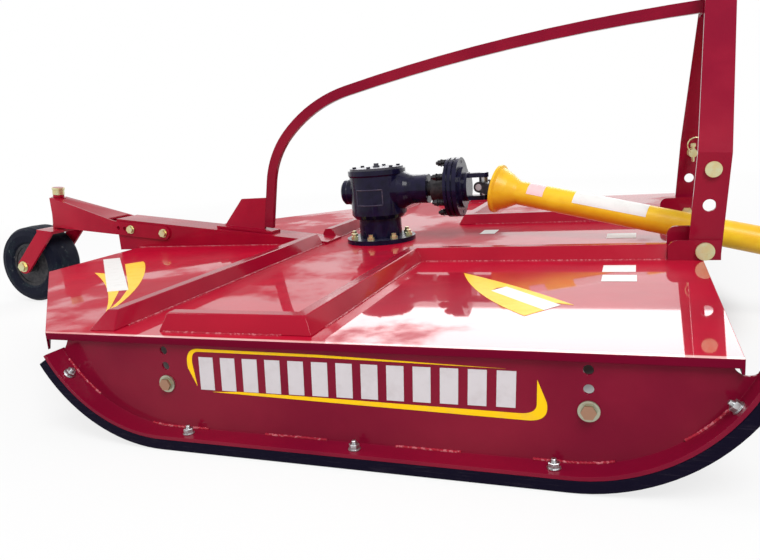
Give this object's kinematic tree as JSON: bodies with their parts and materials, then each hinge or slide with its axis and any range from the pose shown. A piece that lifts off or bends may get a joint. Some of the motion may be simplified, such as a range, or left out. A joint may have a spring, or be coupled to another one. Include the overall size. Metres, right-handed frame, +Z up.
{
  "type": "tractor rotary brush cutter",
  "caption": "Three-point hitch rotary brush cutter: deck on side skids, gearbox, guarded driveline, braced mast and castering tail wheel.",
  "frame": {"origin": "on the ground under the middle of the outline, on the middle plane of the deck", "axes": "+X forward to the tractor, +Y to the left, +Z up"},
  "size_m": [3.395, 2.5, 1.0906],
  "materials": {
    "red_paint": "glossy enamel",
    "dark_paint": "semi-gloss enamel",
    "yellow_guard": "moulded plastic",
    "black_strip": "matt",
    "tyre_rubber": "matt",
    "yellow_zinc": "zinc plated",
    "bare_steel": "machined",
    "dark_steel": "forged, oiled",
    "cover_metal": "cast"
  },
  "bodies": {
    "machine": {"deck": "red_paint", "side_panel_right": "red_paint", "side_panel_left": "red_paint", "wear_strip_right": "black_strip", "wear_strip_left": "black_strip", "stiffener_right": "red_paint", "stiffener_left": "red_paint", "rear_stiffeners": "red_paint", "side_bolts": "yellow_zinc", "mast_ears": "red_paint", "mast_leg_right": "red_paint", "mast_leg_left": "red_paint", "leg_pivot_bolts": "yellow_zinc", "hitch_pin_right": "yellow_zinc", "hitch_pin_left": "yellow_zinc", "top_link_plates": "red_paint", "brace_bar": "red_paint", "brace_bracket": "red_paint", "brace_bolt": "yellow_zinc", "gearbox_base": "dark_paint", "gearbox_body": "dark_paint", "gearbox_cover": "cover_metal", "gearbox_bolts": "yellow_zinc", "input_hub": "dark_steel", "slip_clutch": "dark_paint", "clutch_bolts": "dark_steel", "clutch_yoke": "dark_paint", "tail_beam": "red_paint", "tail_arm": "red_paint", "tail_arm_bolts": "yellow_zinc"},
    "rotor": {"rotor_hub": "dark_steel", "blade_carrier": "dark_steel", "blade_bolts": "bare_steel"},
    "right_blade": {"blade_right": "bare_steel"},
    "left_blade": {"blade_left": "bare_steel"},
    "caster": {"tail_fork": "red_paint", "tail_axle": "yellow_zinc"},
    "wheel": {"tail_wheel_disc": "dark_steel", "tail_tyre": "tyre_rubber"},
    "implement_cross": {"rear_cross": "bare_steel"},
    "implement_shaft": {"rear_shaft": "dark_steel", "rear_guard": "yellow_guard"},
    "tractor_shaft": {"front_shaft": "dark_steel", "front_guard": "yellow_guard"},
    "tractor_cross": {"front_cross": "bare_steel"},
    "tractor_end": {"tractor_yoke": "dark_steel"}
  },
  "joints": [
    {"name": "rotor_spin", "type": "hinge", "parent": "machine", "child": "rotor", "pos_m": [0.12577, 0, 0.1], "axis": [0, 0, 1], "continuous": true},
    {"name": "right_blade_swing", "type": "hinge", "parent": "rotor", "child": "right_blade", "pos_m": [0.12577, -0.6, 0.066], "axis": [0, 0, 1], "range_deg": [-120, 120]},
    {"name": "left_blade_swing", "type": "hinge", "parent": "rotor", "child": "left_blade", "pos_m": [0.12577, 0.6, 0.066], "axis": [0, 0, 1], "range_deg": [-120, 120]},
    {"name": "tail_swivel", "type": "hinge", "parent": "machine", "child": "caster", "pos_m": [-1.38423, 0, 0.325], "axis": [0.1392, 0, 0.9903], "continuous": true},
    {"name": "tail_wheel_spin", "type": "hinge", "parent": "caster", "child": "wheel", "pos_m": [-1.52949, 0, 0.168], "axis": [0, 1, 0], "continuous": true},
    {"name": "shaft_sideways", "type": "hinge", "parent": "machine", "child": "implement_cross", "pos_m": [0.51377, 0, 0.42], "axis": [0, 0, 1], "range_deg": [0, 22.8]},
    {"name": "shaft_lift", "type": "hinge", "parent": "implement_cross", "child": "implement_shaft", "pos_m": [0.51377, 0, 0.42], "axis": [-0.1977, -0.9803, 0], "range_deg": [0, 35]},
    {"name": "shaft_telescope", "type": "slide", "parent": "implement_shaft", "child": "tractor_shaft", "axis": [0.9595, -0.1935, -0.2048], "range_m": [-0.09, 0.25]},
    {"name": "tractor_cross_turn", "type": "hinge", "parent": "tractor_shaft", "child": "tractor_cross", "pos_m": [1.56921, -0.21281, 0.1947], "axis": [0.1977, 0.9803, 0], "range_deg": [-30, 30]},
    {"name": "tractor_yoke_turn", "type": "hinge", "parent": "tractor_cross", "child": "tractor_end", "pos_m": [1.56921, -0.21281, 0.1947], "axis": [0.2008, -0.0405, 0.9788], "range_deg": [-30, 30]}
  ]
}
